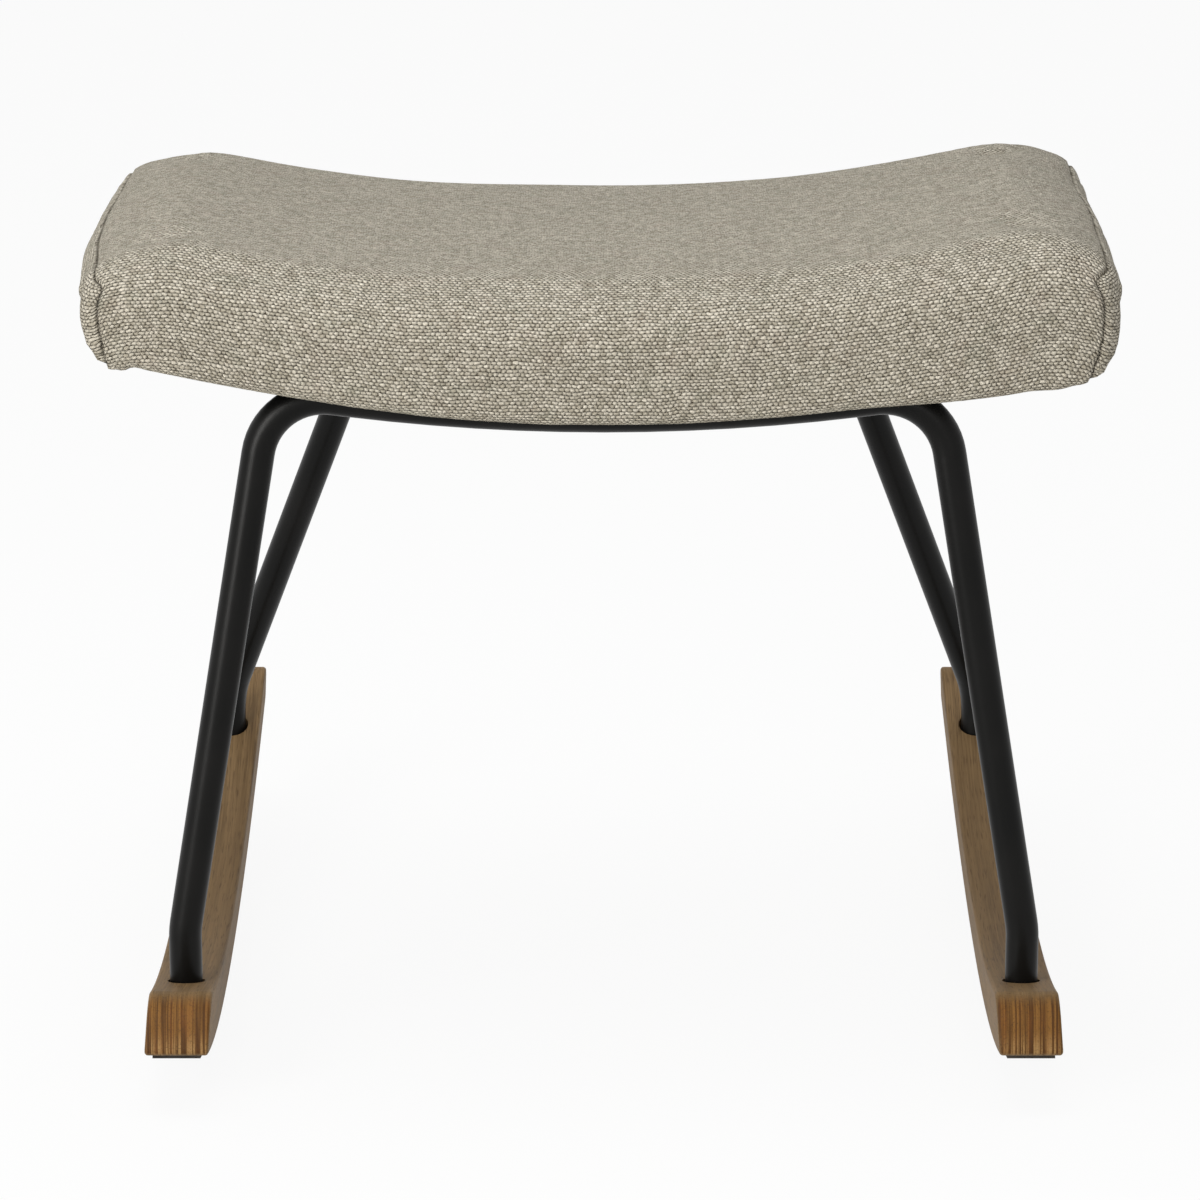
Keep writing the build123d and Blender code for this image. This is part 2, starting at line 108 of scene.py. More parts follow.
class Finish:
    """A material, or the studio's world. The values given stay on its shader, and node() makes all
    its other nodes."""

    def __init__(self, name, world=False, **fixed):
        self.owner = (bpy.data.worlds if world else bpy.data.materials).new(name)
        self.owner.use_nodes = True
        self.tree = self.owner.node_tree
        self.shader = self.tree.nodes["Background" if world else "Principled BSDF"]
        self.surface(**fixed)

    def node(self, kind, settings, sockets, output=0):
        """A new node of a kind, by the output that is wanted of it."""
        made = self.tree.nodes.new(kind)
        for name, value in settings.items():
            setattr(made, name, value)
        for name, value in sockets.items():
            self.feed(made.inputs[name], value)
        return Wire(self, made.outputs[output])

    def feed(self, socket, value):
        """Link a socket to a wire, or set its value."""
        if isinstance(value, Wire):
            self.tree.links.new(value.socket, socket)
        else:
            socket.default_value = value

    def surface(self, **sockets):
        """Feed the shader's own sockets."""
        for socket, value in sockets.items():
            self.feed(self.shader.inputs[socket.replace("_", " ")], value)

    def point(self):
        """Where the surface is, in metres."""
        return self.node("ShaderNodeTexCoord", {}, {}, "Object")

    def vector(self, x, y, z):
        return self.node("ShaderNodeCombineXYZ", {}, {0: x, 1: y, 2: z})

    def noise(self, where, scale, detail=2.0, rough=0.5, output="Fac"):
        """Cloudy noise from 0 to 1, with a scale in lumps to the metre."""
        sockets = {"Vector": where, "Scale": scale, "Detail": detail, "Roughness": rough}
        return self.node("ShaderNodeTexNoise", {}, sockets, output)

    def mix(self, share, first, second, blend="MIX"):
        settings = {"data_type": "RGBA", "blend_type": blend, "clamp_factor": True}
        return self.node("ShaderNodeMix", settings, {0: share, 6: first, 7: second}, 2)

    def bump(self, height, depth, strength=1.0, normal=None):
        sockets = {"Strength": strength, "Distance": depth, "Height": height}
        if normal is not None:
            sockets["Normal"] = normal
        return self.node("ShaderNodeBump", {}, sockets)

    def paint(self, *objects):
        for piece in objects:
            piece.data.materials.clear()
            piece.data.materials.append(self.owner)


# the arc on which the stool rolls: its middle is over ROLL_Y, ROLL_R above the floor
ROLL_Y = -0.0415
ROLL_R = 0.720

oak = Finish("oiled_oak", Specular_IOR_Level=0.16)
x, y, z = oak.point().parts()
behind = y - ROLL_Y
below = ROLL_R - z
radius = (behind * behind + below * below) ** 0.5
along = behind.maths("ARCTAN2", below) * ROLL_R
wander = oak.noise(oak.vector(x * 8, along * 3, radius * 8), 1.0, 2.0) * 0.004
grain_x = x + wander
fibre = oak.noise(oak.vector(grain_x * 900, along * 14, radius * 70), 1.0, 3.0, 0.6)
band = oak.noise(oak.vector(grain_x * 210, along * 4, radius * 24), 1.0, 3.0, 0.55)
pores = oak.noise(oak.vector(grain_x * 1500, along * 55, radius * 1500), 1.0, 1.0).ramp(0.57, 0.69)
cloudy = oak.noise(oak.vector(x * 12, along * 9, radius * 12), 1.0, 2.0)
# how squarely the face looks along the curve: 1 on the rocker's two ends
ny, nz = oak.node("ShaderNodeNewGeometry", {}, {}, "Normal").parts()[1:]
facing = (ny * below + nz * behind) / radius
end_grain = facing.maths("ABSOLUTE").ramp(0.30, 0.92)
streak = fibre * 0.55 + band * 0.45
# the long faces: grey-brown oak, whose grey is partly a painted sheen of the sky
long_wood_and_sheen = oak.mix(streak.ramp(0.30, 0.70), srgb(100, 78, 50), srgb(145, 118, 83))
long_wood_and_sheen = oak.mix(cloudy.ramp(0.35, 0.7) * 0.5, long_wood_and_sheen, srgb(133, 107, 73))
rays = oak.noise(oak.vector(x * 760, along * 5, radius * 9), 1.0, 2.0, 0.55)
end_wood = oak.mix(rays.ramp(0.38, 0.62), srgb(76, 46, 13), srgb(130, 90, 41))
# painted light: the end grain's streaks are painted paler towards the floor
floor_light_share = radius.ramp(0.702, 0.718)
end_wood = oak.mix(floor_light_share * rays.ramp(0.42, 0.6) * 0.7, end_wood, srgb(172, 138, 90))
end_wood = oak.mix(band.ramp(0.45, 0.7) * 0.3, end_wood, srgb(132, 78, 32))
wood = oak.mix(end_grain, long_wood_and_sheen, end_wood)
wood = oak.mix(pores * 0.5, wood, srgb(70, 50, 30))
oak.surface(
    Base_Color=wood,
    Roughness=0.5 + fibre * 0.2,
    Normal=oak.bump(fibre * 0.7 + pores * -0.5, 0.0004, 0.5),
)
oak.paint(nodes["rocker_left"], nodes["rocker_right"])

# ---------------------------------------------------------------- rubber treads
# A strip of dark moulded rubber glued under each rocker, with a fine grain and
# a slightly dusty running face.
rubber = Finish("tread_rubber", Specular_IOR_Level=0.3)
spot = rubber.point()
dust = rubber.noise(spot, 60, 3.0)
grit = rubber.noise(spot, 1800, 2.0)
rubber.surface(
    Base_Color=rubber.mix(dust.ramp(0.35, 0.75), srgb(42, 38, 35), srgb(78, 72, 66)),
    Roughness=0.68 + grit * 0.25,
    Normal=rubber.bump(grit, 0.0002, 0.6),
)
rubber.paint(nodes["tread_left"], nodes["tread_right"])

# ------------------------------------------------------------ steel tube frames
# Two frames of bent steel tube with their mounting tabs, powder-coated satin
# black. The coat has a fine orange peel and small changes in gloss.
coat = Finish("black_powder_coat", IOR=1.32, Specular_IOR_Level=0.26)
spot = coat.point()
peel = coat.noise(spot, 1300, 2.0)
smudge = coat.noise(spot, 22, 3.0)
coat.surface(
    Base_Color=coat.mix(smudge.ramp(0.3, 0.8), srgb(11, 11, 10), srgb(19, 18, 17)),
    Roughness=0.30 + smudge * 0.08 + peel * 0.04,
    Normal=coat.bump(peel, 0.00008, 0.35),
)
tabs = [f"tab_{rail}_{side}" for rail in ("front", "rear") for side in ("left", "right")]
coat.paint(*[nodes[name] for name in ("front_frame", "rear_frame", *tabs)])

# ------------------------------------------------------ zinc plugs and hardware
# Threaded plugs in the feet, washers, tee nuts and staples, all zinc-plated
# steel: cool grey, with faint turning marks and cloudy plating.
zinc = Finish("zinc_plate", Metallic=1.0)
spot = zinc.point()
cloud = zinc.noise(spot, 300, 3.0)
scuff = zinc.noise(spot, 2500, 2.0)
zinc.surface(
    Base_Color=zinc.mix(cloud, srgb(168, 170, 172), srgb(205, 206, 204)),
    Roughness=0.28 + cloud * 0.2,
    Normal=zinc.bump(scuff, 0.00005, 0.4),
)
plated = ("leg_inserts", "rocker_washers", "seat_washers", "tee_nuts", "staples")
zinc.paint(*[nodes[name] for name in plated])

# ----------------------------------------------------------- black steel screws
# Button-head screws with a black oxide finish, a little brown where it is thin:
# four through the tabs into the seat, and four up through the rockers into the
# plugs of the feet.
oxide = Finish("black_oxide", Metallic=0.6)
spot = oxide.point()
rub = oxide.noise(spot, 500, 3.0)
oxide.surface(
    Base_Color=oxide.mix(rub.ramp(0.45, 0.8), srgb(30, 30, 32), srgb(66, 58, 52)),
    Roughness=0.35 + rub * 0.25,
    Normal=oxide.bump(rub, 0.00005, 0.4),
)
oxide.paint(nodes["seat_screws"], nodes["rocker_screws"])

# --------------------------------------------------------- moulded plywood board
# The seat board inside the cushion: birch veneers pressed to the seat's curve.
# The faces show long grain and the edge shows the thin layers.
plywood = Finish("birch_plywood", Specular_IOR_Level=0.3)
x, y, z = plywood.point().parts()
figure = plywood.noise(plywood.vector(x * 10, y * 240, z * 240), 1.0, 3.0)
layers = plywood.noise(plywood.vector(x * 2, y * 2, z * 900), 1.0, 0.0)
upright = plywood.node("ShaderNodeNewGeometry", {}, {}, "Normal").parts()[2]
sides = upright.maths("ABSOLUTE").ramp(0.7, 0.3)
face_wood = plywood.mix(figure, srgb(196, 168, 128), srgb(222, 200, 164))
edge_wood = plywood.mix(layers.ramp(0.42, 0.58), srgb(150, 112, 72), srgb(214, 186, 146))
plywood.surface(
    Base_Color=plywood.mix(sides, face_wood, edge_wood),
    Roughness=0.6 + figure * 0.2,
    Normal=plywood.bump(figure, 0.0002, 0.4),
)
plywood.paint(nodes["seat_board"])

# ----------------------------------------------------------------- woven cover
# Oatmeal furniture fabric, light floats laid like bricks over darker yarn. One
# panel wraps the seat from front to back, an end panel is sewn to it at each
# side with a plain seam, and all is turned under and stapled.

# The seat's own curve: every layer of the seat follows the arc of the cross
# rails. The seat is laid out level, with its underside at zero over the front
# rail, then set on the rails, which are lower at the back.
UNDER_R = 1.1403  # radius of the underside's arc
HALF_W = 0.2955
SECTION_LEAN = 0.55  # how far a section leans with the arc: 0 upright, 1 square to it
SEAT_TILT = math.radians(3.8)
RAIL_Y = -0.1821  # middle of the front rail
RAIL_Z = 0.394
RAIL_TO_SEAT = 0.0097
SEAT_END = math.asin(HALF_W / UNDER_R)


def on_stool(level):
    """Points of the level seat, moved to their place on the rails."""
    level = np.asarray(level, float)
    c, s = math.cos(SEAT_TILT), math.sin(SEAT_TILT)
    y = RAIL_Y + RAIL_TO_SEAT * s + level[..., 1] * c + level[..., 2] * s
    z = RAIL_Z + RAIL_TO_SEAT * c - level[..., 1] * s + level[..., 2] * c
    return np.stack([level[..., 0], y, z], -1)


def section_points(angle, outline):
    """An outline in a section of the cushion, (depth, height) pairs, as level points."""
    lean = angle * SECTION_LEAN
    x = UNDER_R * math.sin(angle) - outline[:, 1] * math.sin(lean)
    z = UNDER_R * (1 - math.cos(angle)) + outline[:, 1] * math.cos(lean)
    return np.stack([x, outline[:, 0], z], -1)


# The cushion's form: a crowned top, swelling front and back faces, low edges
# rolled below the board, and ends rounded like a pillow.
SEAT_FRONT = -0.053  # depths are from the front rail
SEAT_BACK = 0.309
SEAT_T = 0.0725
UNDER_FLAT = 0.0008  # the flat underside, over the seat's own curve
EDGE_ROLL = 0.0065  # how far the low edges hang under it, and how wide they are
EDGE_ROLL_W = 0.022
PLAN_BOW = 0.003  # front and back are drawn in towards the ends, and the top lowered
EDGE_THIN = 0.0055
TOP_CROWN = 0.005
SIDE_BULGE = 0.003
TOP_ROUND = 0.030  # how far a corner's round reaches along its two faces
LOW_ROUND = 0.009
LEAST_ROUND = 0.001
END_PUFF_L = 0.050  # the ends' rounding over the top: its length and its drop
END_PUFF_H = 0.031
END_SIDE_ROUND = 0.015  # at the front and back
END_LOW_L = 0.020  # and along the underside
END_LOW_H = 0.032
SHOULDER = SEAT_END - END_PUFF_L / UNDER_R  # the angle at which that rounding begins
FACE_SWELL = 0.0022  # how far the middle of an end face stands out
# points on each stretch of a section: half the flat underside, slope, low corner,
# face, top corner, top
STRETCHES = (12, 4, 7, 11, 14, 60)


def drawn_in(from_end, length, height):
    """How far a rounded end draws an edge in, at a distance from the end."""
    share = min(max(length - from_end, 0) / length, 1)
    return height * (1 - math.sqrt(1 - share * share))


def bowed(start, end, rise, t):
    """Point and direction at t on a shallow bow that swells to the left of its run."""
    run = end - start
    side = np.array([-run[1], run[0]]) / np.hypot(*run)
    return start + run * t + side * rise * 4 * t * (1 - t), run + side * rise * 4 * (1 - 2 * t)


def rounded(first, second, reach, count):
    """Corner from the end of one bow to the start of the next, as count points with its ends."""
    lengths = [np.hypot(*(bow[1] - bow[0])) for bow in (first, second)]
    start, start_way = bowed(*first, 1 - reach / lengths[0])
    end, end_way = bowed(*second, reach / lengths[1])
    start_way = start_way / np.hypot(*start_way)
    end_way = end_way / np.hypot(*end_way)
    turn = math.acos(float(np.clip(start_way @ end_way, -1, 1)))
    handle = 4 / 3 * math.tan(turn / 4) * reach / math.tan(turn / 2)
    t = np.linspace(0, 1, count)[:, None]
    one = start + start_way * handle
    two = end - end_way * handle
    return start * (1 - t) ** 3 + one * 3 * t * (1 - t) ** 2 + two * 3 * t * t * (1 - t) + end * t**3


def section_outline(angle, inset, stretches=STRETCHES):
    """Closed outline of the cushion at an angle round its curve, from the middle of its underside
    to the front, over the top and down the back, always with the same number of points."""
    share = (angle / SEAT_END) ** 2
    from_end = max(UNDER_R * (SEAT_END - abs(angle)) - inset, 0)
    side_in = inset + PLAN_BOW * share + drawn_in(from_end, END_SIDE_ROUND, END_SIDE_ROUND)
    low_in = inset + drawn_in(from_end, END_LOW_L, END_LOW_H)
    top_in = inset + EDGE_THIN * share + drawn_in(from_end, END_PUFF_L, END_PUFF_H)
    front, back = SEAT_FRONT + side_in, SEAT_BACK - side_in
    low, flat, top = low_in - EDGE_ROLL, low_in + UNDER_FLAT, SEAT_T - top_in
    flat_n, slope_n, low_n, face_n, round_n, top_n = stretches
    at = [np.array(p) for p in ((front + EDGE_ROLL_W, flat), (front, low), (front, top))]
    slope = (at[0], at[1], 0)
    face = (at[1], at[2], SIDE_BULGE)
    lid = (at[2], np.array((back, top)), TOP_CROWN)
    fullness = (top - low) / (SEAT_T + EDGE_ROLL)
    low_reach = max(LOW_ROUND * fullness - inset, LEAST_ROUND)
    top_reach = max(TOP_ROUND * fullness - inset, LEAST_ROUND)
    low_turn = rounded(slope, face, low_reach, low_n)
    top_turn = rounded(face, lid, top_reach, round_n)
    middle = (front + back) / 2

    def stretch(bow, begin, finish, count):
        return np.array([bowed(*bow, t)[0] for t in np.linspace(begin, finish, count + 1)[1:-1]])

    slope_l, face_l, lid_l = (np.hypot(*(bow[1] - bow[0])) for bow in (slope, face, lid))
    flats = np.linspace((middle, flat), at[0], flat_n + 1)[:-1]
    half = [flats, at[0][None], stretch(slope, 0, 1 - low_reach / slope_l, slope_n), low_turn]
    half += [stretch(face, low_reach / face_l, 1 - top_reach / face_l, face_n), top_turn]
    half = np.concatenate(half)
    over = stretch(lid, top_reach / lid_l, 1 - top_reach / lid_l, top_n)
    other = half[:0:-1] * (-1, 1) + (2 * middle, 0)
    return np.concatenate([half, over, other])


def eased(value, low, high):
    """Smooth change from 0 to 1 as a value goes from low to high."""
    t = np.clip((value - low) / (high - low), 0, 1)
    return t * t * (3 - 2 * t)


# The seam keeps closer to the end over the top, dips in at the upper corners
# and turns well in under the lower ones. Heights are shares of the seat's
# thickness, and the stretch of the last runs down from 0.42 to -0.08.
SEAM_IN = 0.0095
SEAM_TOP_OUT = 0.0055
SEAM_TOP = (0.6, 0.9)
SEAM_LOW_IN = 0.0085
SEAM_LOW = (-0.42, 0.08)
SEAM_DIP = {-1: 0.0025, 1: 0.0048}  # left and right
SEAM_DIP_AT = 0.70
SEAM_DIP_W = 0.085


def seam_in(outline, side):
    """How far in from the end the seam lies at each point of an outline."""
    height = outline[:, 1] / SEAT_T
    dip = np.exp(-(((height - SEAM_DIP_AT) / SEAM_DIP_W) ** 2)) * SEAM_DIP[side]
    top_out = SEAM_TOP_OUT * eased(height, *SEAM_TOP)
    return SEAM_IN - top_out + SEAM_LOW_IN * eased(-height, *SEAM_LOW) + dip


# A seat padded by hand isn't quite even. Each step is a height and the stretch
# over which it comes in. The ends stand out by a first value and by steps over
# the seat's depth, from 0 to 1. The top is raised and the low edge dropped by
# steps over the distance to the left or right of the middle.
LEFT_OUT = (-0.0013, (0.0072, 0, 0.4), (-0.0015, 0.75, 1))
RIGHT_OUT = (-0.0052, (0.003, 0, 0.4), (0.0037, 0.6, 1))
RIGHT_LOW_IN = 0.0035  # the right end is drawn in below these heights
RIGHT_LOW = (-0.006, 0.018)
NEAR_END = (HALF_W - 0.075, HALF_W - 0.005)
TOP_RIGHT = ((0.0025, 0.1, 0.22), (-0.0025, 0.25, 0.275))
TOP_LEFT = ((-0.003, 0.02, 0.14), (-0.0025, 0.23, 0.27))
TOP_HEIGHTS = (0.02, 0.06)
LOW_LEFT = ((0.002, 0.05, 0.2),)
LOW_RIGHT = ((-0.007, 0.12, 0.25), (-0.0035, 0.235, 0.265))
LOW_HEIGHTS = (0, 0.04)
LOW_EDGE = (0.005, 0.024)  # the low edge's width, in from the outline
EAR_DROP = 0.0048  # a small ear at the left front corner
EAR_X = -0.274
EAR_W = 0.009
EAR_DEPTH = (0.05, 0.2)


def stepped(value, start, *steps):
    """The start, and what each step adds to it at a value."""
    for amount, low, high in steps:
        start = start + amount * eased(value, low, high)
    return start


def hand_made(level):
    """Level points of the soft pieces, with the small unevenness of a seat padded by hand."""
    x, y, z = np.moveaxis(np.asarray(level, float), -1, 0)
    height = z - UNDER_R + np.sqrt(UNDER_R**2 - np.minimum(x * x, HALF_W**2))
    depth = (y - SEAT_FRONT) / (SEAT_BACK - SEAT_FRONT)
    left_out = stepped(depth, *LEFT_OUT)
    right_out = stepped(depth, *RIGHT_OUT) - RIGHT_LOW_IN * (1 - eased(height, *RIGHT_LOW))
    near_end = eased(abs(x), *NEAR_END)
    upper = eased(height, *TOP_HEIGHTS)
    edge_in = np.minimum(np.minimum(y - SEAT_FRONT, SEAT_BACK - y), HALF_W - abs(x))
    lower = (1 - eased(height, *LOW_HEIGHTS)) * (1 - eased(edge_in, *LOW_EDGE))
    raised = stepped(-x, stepped(x, 0, *TOP_RIGHT), *TOP_LEFT)
    dropped = stepped(x, stepped(-x, 0, *LOW_LEFT), *LOW_RIGHT)
    ear = EAR_DROP * np.exp(-(((x - EAR_X) / EAR_W) ** 2)) * (1 - eased(depth, *EAR_DEPTH))
    dropped = dropped - ear
    x = x + np.where(x < 0, -left_out, right_out) * near_end
    return np.stack([x, y, z + raised * upper + dropped * lower], -1)


FINE_STEPS = 120  # sections of an end between which its rings are found


def from_face(t):
    """Distance in from the end's face, in steps that are short at the face."""
    return END_PUFF_L * (1 - np.cos(t * math.pi / 2))


def end_rings(side, inset, end_steps, stretches):
    """Sections round one end, from its face inward, and the number of the ring that is the seam.
    The rings bend with the seam near it and are plain sections at the face and the shoulder."""
    wanted = seam_in(section_outline(side * SHOULDER, 0.0, stretches), side)
    stack = []
    for edge in from_face(np.linspace(0, 1, FINE_STEPS + 1)):
        angle = side * (SEAT_END - (inset + edge * (1 - inset / END_PUFF_L)) / UNDER_R)
        stack.append(section_points(angle, section_outline(angle, inset, stretches)))
    stack = np.array(stack)
    seam = int(np.argmin(abs(from_face(np.linspace(0, 1, end_steps + 1)) - SEAM_IN)))
    seam_t = np.arccos(1 - wanted / END_PUFF_L) / (math.pi / 2)
    rings = []
    for i in range(end_steps + 1):
        if i <= seam:
            t = seam_t * i / seam
        else:
            t = seam_t + (1 - seam_t) * (i - seam) / (end_steps - seam)
        place = t * FINE_STEPS
        low = np.minimum(place.astype(int), FINE_STEPS - 1)
        part = (place - low)[:, None]
        point = np.arange(len(wanted))
        rings.append(stack[low, point] * (1 - part) + stack[low + 1, point] * part)
    return rings, seam


def cushion_surface(inset, spacing, end_steps, face_rings, stretches=STRETCHES):
    """Level points of the whole closed cushion as rings, from the left end face to the right one,
    and the number of the ring on which each seam lies."""
    left, seam = end_rings(-1, inset, end_steps, stretches)
    right, seam = end_rings(1, inset, end_steps, stretches)
    steps = int(round(SHOULDER * UNDER_R * 2 / spacing))
    angles = np.linspace(-SHOULDER, SHOULDER, steps + 1)[1:-1]
    between = [section_points(a, section_outline(a, inset, stretches)) for a in angles]
    rings = left + between + right[::-1]
    caps = []
    for angle in (-SEAT_END + inset / UNDER_R, SEAT_END - inset / UNDER_R):
        outline = section_outline(angle, inset, stretches)
        least, most = outline.min(0), outline.max(0)
        half_h = (most[1] - least[1]) / 2
        spine_y = np.clip(outline[:, 0], least[0] + half_h, most[0] - half_h)
        spine = np.stack([spine_y, np.full(len(outline), (least[1] + most[1]) / 2)], -1)
        cap = []
        for i in range(1, face_rings + 1):
            share = i / face_rings
            ring = section_points(angle, outline + (spine - outline) * share)
            ring[:, 0] += math.copysign(FACE_SWELL * (1 - (1 - share) ** 2), angle)
            cap.append(ring)
        caps.append(cap)
    first = len(caps[0])
    return caps[0][::-1] + rings + caps[1], first + seam, first + len(rings) - 1 - seam


def placed(name, data):
    """A new object of the scene."""
    made = bpy.data.objects.new(name, data)
    bpy.context.scene.collection.objects.link(made)
    return made


def ring_mesh(name, rings):
    """Mesh of quads over a row of closed rings."""
    count = len(rings[0])
    mesh = bpy.data.meshes.new(name)
    faces = []
    for i in range(len(rings) - 1):
        for j in range(count):
            k = (j + 1) % count
            faces.append((i * count + j, i * count + k, (i + 1) * count + k, (i + 1) * count + j))
    mesh.from_pydata([tuple(p) for p in np.concatenate(rings)], [], faces)
    return placed(name, mesh)


def tidy_mesh(piece, merge):
    """Merge points nearer than merge, turn the faces outward and shade them smooth."""
    made = bmesh.new()
    made.from_mesh(piece.data)
    bmesh.ops.remove_doubles(made, verts=made.verts, dist=merge)
    bmesh.ops.recalc_face_normals(made, faces=made.faces)
    made.to_mesh(piece.data)
    made.free()
    piece.data.shade_smooth()
    piece.data.update()


# The swell of the cloth: the cover is sewn a little small and pulled over the
# foam, so it swells between its seams and its stapled edge. A cloth simulation
# with air pressure finds that swell on a coarse copy of the cushion, and the
# pieces take it over.
SWELL_START = 0.003  # the copy starts this far inside the cushion's form
SWELL_MOST = 0.006  # no point moves further
SWELL_FRAMES = 20
SWELL_BROAD = 0.04  # a swell broader than this is in the cushion's form already
SWELL_NEIGHBOURS = 6  # how many of the copy's points a point follows, and how evenly
SWELL_EVEN = 0.002
COARSE_MERGE = 0.0008
SEAM_HOLD = 0.85  # how firmly the seams are held, where 1 is fixed
UNDER_FACING = -0.35  # what looks down so much, this far from front and back, is the underside
UNDER_EDGE = 0.014
ROWS_AT_ONCE = 400


def place_tree(places):
    """The places, ready to be searched for the nearest."""
    tree = kdtree.KDTree(len(places))
    for i, place in enumerate(places):
        tree.insert(place, i)
    tree.balance()
    return tree


def swelled():
    """Places on the coarse copy and how the cloth moved there, less the broad swell that the
    cushion's form has already."""
    rings, left, right = cushion_surface(
        inset=SWELL_START, spacing=0.0075, end_steps=7, face_rings=4, stretches=(8, 2, 4, 6, 8, 40)
    )
    rings = [on_stool(hand_made(ring)) for ring in rings]
    copy = ring_mesh("swell_copy", rings)
    tidy_mesh(copy, COARSE_MERGE)
    places = np.array([v.co for v in copy.data.vertices])
    seams = place_tree(np.concatenate([rings[left], rings[right]]))
    front, back = SEAT_FRONT + UNDER_EDGE, SEAT_BACK - UNDER_EDGE
    normals = np.array([v.normal for v in copy.data.vertices])
    free = np.ones(len(places))
    held = copy.vertex_groups.new(name="held")
    for v in copy.data.vertices:
        if v.normal.z < UNDER_FACING and front < v.co.y - RAIL_Y < back:
            free[v.index] = 0.0
            held.add([v.index], 1.0, "REPLACE")
        elif seams.find(v.co)[2] < COARSE_MERGE:
            held.add([v.index], SEAM_HOLD, "REPLACE")
    cloth = copy.modifiers.new("cloth", "CLOTH")
    cloth.settings.quality = 6
    cloth.settings.mass = 0.25
    cloth.settings.tension_stiffness = 20
    cloth.settings.compression_stiffness = 20
    cloth.settings.shear_stiffness = 8
    cloth.settings.bending_stiffness = 0.6
    cloth.settings.use_pressure = True
    cloth.settings.uniform_pressure_force = 4
    cloth.settings.effector_weights.gravity = 0
    cloth.settings.vertex_group_mass = "held"
    cloth.point_cache.frame_start = 1
    cloth.point_cache.frame_end = SWELL_FRAMES
    scene = bpy.context.scene
    for step in range(1, SWELL_FRAMES + 1):
        scene.frame_set(step)
    shaped = copy.evaluated_get(bpy.context.evaluated_depsgraph_get())
    moved = np.array([v.co for v in shaped.data.vertices])
    scene.frame_set(1)
    bpy.data.objects.remove(copy)
    shift = moved - places
    reach = np.linalg.norm(shift, axis=1, keepdims=True)
    shift *= np.minimum(1, SWELL_MOST / np.maximum(reach, 1e-9))
    # the foam keeps the cloth from going in, and sets the swell over long distances
    outward = (shift * normals).sum(1)
    shift += normals * np.maximum(-outward, 0)[:, None]
    broad = np.zeros_like(shift)
    for first in range(0, len(places), ROWS_AT_ONCE):
        rows = slice(first, first + ROWS_AT_ONCE)
        apart = ((places[rows, None] - places[None]) ** 2).sum(2)
        alike = np.clip(normals[rows] @ normals.T, 0, 1) ** 2
        weights = np.exp(apart / (-2 * SWELL_BROAD**2)) * alike
        broad[rows] = weights @ shift / weights.sum(1, keepdims=True)
    return places, (shift - broad) * free[:, None]


def take_swell(points):
    """The points, moved as the simulated cloth near them moved."""
    places, shift = swelled()
    tree = place_tree(places)
    out = points.copy()
    for i, point in enumerate(points):
        near = tree.find_n(point, SWELL_NEIGHBOURS)
        weights = np.array([1 / (found[2] + SWELL_EVEN) ** 2 for found in near])
        shifts = shift[[found[1] for found in near]]
        out[i] += weights @ shifts / weights.sum()
    return out


rings, left_seam, right_seam = cushion_surface(inset=0.0, spacing=0.004, end_steps=20, face_rings=9)
count = len(rings[0])
surface = take_swell(np.concatenate([on_stool(hand_made(ring)) for ring in rings]))
surface = surface.reshape(len(rings), count, 3)


def ring_normals(grid):
    """Outward directions on a grid of closed rings, whose middle looks up."""
    around = np.roll(grid, -1, 1) - np.roll(grid, 1, 1)
    across = np.gradient(grid, axis=0)
    normal = np.cross(around, across)
    normal /= np.maximum(np.linalg.norm(normal, axis=2, keepdims=True), 1e-12)
    return normal if normal[len(grid) // 2, grid.shape[1] // 2, 2] > 0 else -normal


def run_lengths(grid, axis):
    """Distance covered along one way of a grid."""
    steps = np.linalg.norm(np.diff(grid, axis=axis), axis=2)
    start = np.zeros_like(np.take(steps, [0], axis))
    return np.concatenate([start, steps.cumsum(axis)], axis)


outward = ring_normals(surface)
cloth_across = run_lengths(surface, 0)
cloth_around = run_lengths(surface, 1)

# The seam is drawn in, sharply on its line and softly beside it. The cloth
# beside it puckers a little, and its line wanders. Each has its depth and the
# distance over which it dies away.
SEAM_TUCK = 0.0012
SEAM_TUCK_W = 0.0009
SOFT_TUCK = 0.0007
SOFT_TUCK_W = 0.004
PUCKER = 0.0005
FINE_PUCKER = 0.0003
PUCKER_W = 0.009
WANDER = 0.0012
WANDER_W = 0.006


def ripple(around, waves, row, layer):
    """Smooth noise along a seam, from about -1 to 1, with so many waves to the metre."""
    return np.array([noise.noise(Vector((a * waves, row, layer))) for a in around])


for seam, side in ((left_seam, 1), (right_seam, -1)):
    away = np.abs(cloth_across - cloth_across[seam])
    around = cloth_around[seam]
    wave = PUCKER * ripple(around, 55, side * 7.3, 0.5)
    wave += FINE_PUCKER * ripple(around, 130, side * 3.1, 4.5)
    pucker = wave[None, :] * np.exp(-away / PUCKER_W)
    tuck = SEAM_TUCK * np.exp(-((away / SEAM_TUCK_W) ** 2))
    tuck += SOFT_TUCK * np.exp(-away / SOFT_TUCK_W)
    surface += outward * (pucker - tuck)[:, :, None]
    wander = ripple(around, 22, side * 1.7, 9.5) * WANDER
    surface[:, :, 0] += wander[None, :] * np.exp(-away / WANDER_W)

# At the four lower corners the turned-in cloth gathers in small folds, which
# fan out from a point a little above the underside.
FOLD_X = 0.268
FOLD_UP = 0.006
FOLD_COUNT = 9
FOLD_SLANT = 0.4
FOLD_REACH = 0.021
FOLD_START = 0.005
FOLD_DEPTH = 0.0013


def under_height(at):
    """Height of the seat's underside over the floor at a place."""
    level = UNDER_R - math.sqrt(UNDER_R**2 - at[0] ** 2)
    return RAIL_Z + RAIL_TO_SEAT + level - (at[1] - RAIL_Y) * math.tan(SEAT_TILT)


